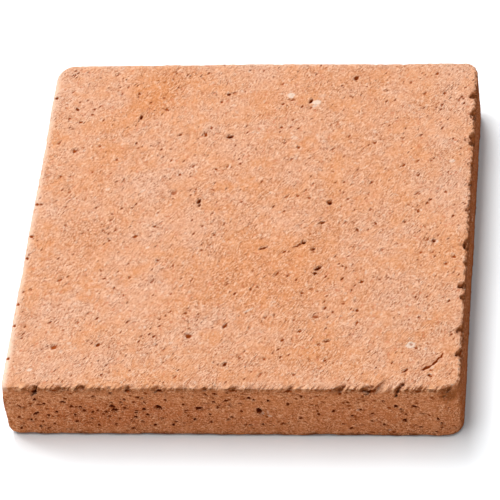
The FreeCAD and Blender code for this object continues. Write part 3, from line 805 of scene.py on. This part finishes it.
# The crack, and the torn strokes and bites of the front and right arrises. Their dark strokes and bites are
# painted shade, and the pale ridges between the strokes are painted highlight.
crack_half = mark("crack_opening") * (CRACK_WIDTH / 2)
from_crack = recipe.math("ABSOLUTE", mark("crack_gap") + 0.5 * streak)
crack = (crack_half - from_crack).between(-0.15, 0.2) * crack_half.between(0.05, 0.15)
# Painted highlight along the outer side of the crack.
crack_highlight = mark("crack_gap").between(0.4, 0.8) * (0 - mark("crack_gap")).between(-1.6, -1.0)
crack_highlight = crack_highlight * mark("crack_opening").between(0.2, 0.5)
patchy = mottle_along(mark("combed"), 6.0)
strokes = mottle_along(mark("combed"), 2.0) + 0.5 * streak + 0.7 * patchy
# Painted shade in the torn strokes and the right arris's bites, and painted highlight on the ridges.
tear = mark("torn") * strokes.between(0.04, 0.10)
ridge = mark("torn") * (0 - strokes).between(0.06, 0.14)
bites = mark("scalloped") * mottle(place, 1.7, 1.0).between(-0.02, 0.05)
torn = tear.greater(bites)
# Painted shade in a patchy band just under the front arris.
under_arris_shade = mark("lip") * (patchy + 0.3 * level_grain).between(-0.25, 0.25) * 0.65

# The colours laid over each other, from the clay itself to the painted shade in its pits.
tone = (sand * (0.80 - 0.25 * up) + scratch * up * 1.4) * uneven + grain * 1.6 + dapple * 0.8
pale, deep = tone.between(0.0, 1.0, "LINEAR"), (0 - tone).between(0.0, 1.0, "LINEAR")
face = (cloud + patch * 0.7).between(-0.2, 0.2, "LINEAR").over(FACE_ORANGE, FACE_ROSE)
face = (mark("stain") * 0.9).over(face, STAIN_CLAY)
face = (mark("bloom") * (patch + dapple).between(-0.3, 0.2) * 0.8).over(face, BLOOM_ROSE)
face = deep.over(pale.over(face, FACE_PALE), FACE_DEEP)
sides = (mark("reddened") * 0.7).over(SIDE_CLAY_IN_SHADE, REDDENED_CLAY)
# Darker brown blotches on the front, most along its top.
sides = (mark("front_dark") * 0.35).over(sides, FRONT_DARK_BROWN)
# Painted shade: the right side is darkened, and its pale grains are dimmed below.
sides = (mark("shaded") * 0.95).over(sides, RIGHT_SIDE_SHADE_BROWN)
unshaded = 1 - 0.6 * mark("shaded")
sides = deep.over((pale * unshaded).over(sides, SIDE_PALE), SIDE_DEEP)
# The face's colours where the clay faces up, and the sides' painted-shade colours elsewhere.
colour = up.over(sides, face)
# Painted shade on chip facets, darker still in their deepest parts.
colour = (mark("broken").between(0.0, 0.6, "LINEAR") * 0.85).over(colour, CHIP_SHADE_CLAY)
colour = ((mark("broken") + 1.5 * grain).between(0.3, 1.0) * 0.75).over(colour, PAINTED_SHADE_DARK)
# Painted shade along the foot, where it meets the floor.
colour = (mark("foot") * 0.85).over(colour, FOOT_SHADE_DARK)
# The left and back arrises paled: wear, and painted highlight.
colour = (mark("worn") * 0.6).over(colour, WORN_PALE_AND_HIGHLIGHT)
colour = (sand.between(0.38, 0.5) * unshaded * 0.4).over(colour, up.over(SIDE_PALE, FACE_PALE))
colour = (gravel.between(0.480, 0.485) * unshaded * 0.35).over(colour, up.over(SIDE_PALE, LIME_WHITE))
colour = ((0 - gravel).between(0.475, 0.485) * 0.5).over(colour, RED_GRAIN)
colour = (inside_lime.between(0.15, 0.5) * lime_shows * 1.25).over(colour, LIME_WHITE)
# Painted shade in the torn strokes, bites and band under the front arris, and painted highlight on the
# ridges.
colour = (torn * 0.9).greater(under_arris_shade).over(colour, PAINTED_SHADE_DARK)
colour = (ridge * 0.7).over(colour, RIDGE_HIGHLIGHT_PALE)
# Painted shade in pits, voids, grit holes and the crack, darkest in their middles.
hollow_shade = pit.greater(crack * 0.85).greater(void.greater(grit) * (0.6 + 0.2 * up))
hollow_shade = hollow_shade * (1.15 - 0.15 * up)
# Painted highlight on pit rims and beside the crack.
colour = (rim * 0.7).greater(crack_highlight * 0.5).over(colour, up.over(SIDE_PALE, FACE_PALE))
colour = hollow_shade.between(0.10, 0.55, "LINEAR").over(colour, HOLLOW_SHADE_BROWN)
colour = hollow_shade.between(0.55, 1.05).over(colour, PIT_SHADE_DARK)
recipe.tree.links.new(colour.socket, shader.inputs["Base Color"])
MATT, POLISH, GLOSS = 0.95, 0.12, 0.03
roughness = MATT - POLISH * pale
recipe.tree.links.new(roughness.socket, shader.inputs["Roughness"])
shader.inputs["Specular IOR Level"].default_value = GLOSS

# Heights of the grain, and depths of its tears and dents, in millimetres.
raised = sand * 0.12 + scratch * uneven * up * 0.35 + grain * 0.60
depth = raised - torn * 0.45 + ridge * 0.2 - dent * 0.55
rough = recipe.node("ShaderNodeBump", {}, {"Strength": 1.0, "Distance": MM, "Height": depth}, "Normal")
recipe.tree.links.new(rough.socket, shader.inputs["Normal"])
tile.data.materials.append(clay)

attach(tile, "root")
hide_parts("floor_tile")

# The floor: a plain pale board that the tile lies on in the studio, painted matt.
# It isn't part of the tile, and it reaches far past what the camera sees.
FLOOR_REACH = 4.0
floor_mesh = bpy.data.meshes.new("studio_floor")
floor_corners = [(-FLOOR_REACH, -FLOOR_REACH, 0), (FLOOR_REACH, -FLOOR_REACH, 0),
                 (FLOOR_REACH, FLOOR_REACH, 0), (-FLOOR_REACH, FLOOR_REACH, 0)]
floor_mesh.from_pydata(floor_corners, [], [(0, 1, 2, 3)])
floor = bpy.data.objects.new("studio_floor", floor_mesh)
bpy.context.scene.collection.objects.link(floor)
FLOOR_PALE, FLOOR_ROUGHNESS = (0.88, 0.905, 0.925, 1.0), 0.9
paint = bpy.data.materials.new("pale_floor")
paint.use_nodes = True
paint.node_tree.nodes["Principled BSDF"].inputs["Base Color"].default_value = FLOOR_PALE
paint.node_tree.nodes["Principled BSDF"].inputs["Roughness"].default_value = FLOOR_ROUGHNESS
floor_mesh.materials.append(paint)

# The light: a long soft panel overhead, a smaller and lower one at the left that rakes the wearing face, a
# weak fill in front of the tile, and an even white surround.
PANEL_DISTANCE = 2.4
SURROUND_STRENGTH = 0.37


def hang_panel(name, toward, width, length, energy):
    """A soft box that hangs in this direction, at the panels' distance, and faces the tile. Its width lies
    along x, less the part of x that points at the tile."""
    panel = bpy.data.lights.new(name, "AREA")
    panel.shape = "RECTANGLE"
    panel.size, panel.size_y = width, length
    panel.energy = energy
    lamp = bpy.data.objects.new(name, panel)
    off = Vector(toward).normalized()
    across = (Vector((1.0, 0.0, 0.0)) - off.x * off).normalized()
    turned_to = Matrix((across, off.cross(across), off)).transposed().to_4x4()
    lamp.matrix_world = Matrix.Translation(off * PANEL_DISTANCE) @ turned_to
    bpy.context.scene.collection.objects.link(lamp)


hang_panel("overhead_panel", (-0.21, 0.28, 1.0), 0.9, 3.0, 73.5)
hang_panel("left_panel", (-0.78, 0.36, 0.64), 0.8, 0.8, 21.2)
hang_panel("front_fill", (0.25, -0.90, 0.40), 1.6, 1.6, 4.5)
surround = bpy.data.worlds.new("white_surround")
surround.use_nodes = True
surround.node_tree.nodes["Background"].inputs["Color"].default_value = (1.0, 1.0, 1.0, 1.0)
surround.node_tree.nodes["Background"].inputs["Strength"].default_value = SURROUND_STRENGTH
bpy.context.scene.world = surround
bpy.context.scene.view_settings.view_transform = "Standard"

# The camera: a long lens above the front right of the tile, aimed near its middle and rolled a little,
# as the photograph's perspective asks.
CAMERA_TURN = math.radians(11.586)
CAMERA_RISE = math.radians(47.436)
CAMERA_ROLL = math.radians(-8.731)
CAMERA_DISTANCE = 1.412
AIM_RIGHT, AIM_UP = -0.00077, -0.0038
FRAME_PIXELS, FOCAL_PIXELS, SENSOR_WIDTH = 500, 3106, 36.0
back = Vector((math.sin(CAMERA_TURN) * math.cos(CAMERA_RISE),
               -math.cos(CAMERA_TURN) * math.cos(CAMERA_RISE), math.sin(CAMERA_RISE)))
level_right = Vector((math.cos(CAMERA_TURN), math.sin(CAMERA_TURN), 0.0))
level_up = back.cross(level_right)
rightward = math.cos(CAMERA_ROLL) * level_right + math.sin(CAMERA_ROLL) * level_up
upright_axis = math.cos(CAMERA_ROLL) * level_up - math.sin(CAMERA_ROLL) * level_right
aim = Vector((0.0, 0.0, THICKNESS * MM / 2)) + AIM_RIGHT * rightward + AIM_UP * upright_axis
stand = aim + CAMERA_DISTANCE * back
lens = bpy.data.cameras.new("studio_camera")
lens.sensor_width = SENSOR_WIDTH
lens.lens = FOCAL_PIXELS / FRAME_PIXELS * SENSOR_WIDTH
lens.clip_start = 0.05
lens.clip_end = 20.0
camera = bpy.data.objects.new("studio_camera", lens)
camera_axes = Matrix((rightward, upright_axis, back)).transposed().to_4x4()
camera.matrix_world = Matrix.Translation(stand) @ camera_axes
bpy.context.scene.collection.objects.link(camera)
bpy.context.scene.camera = camera
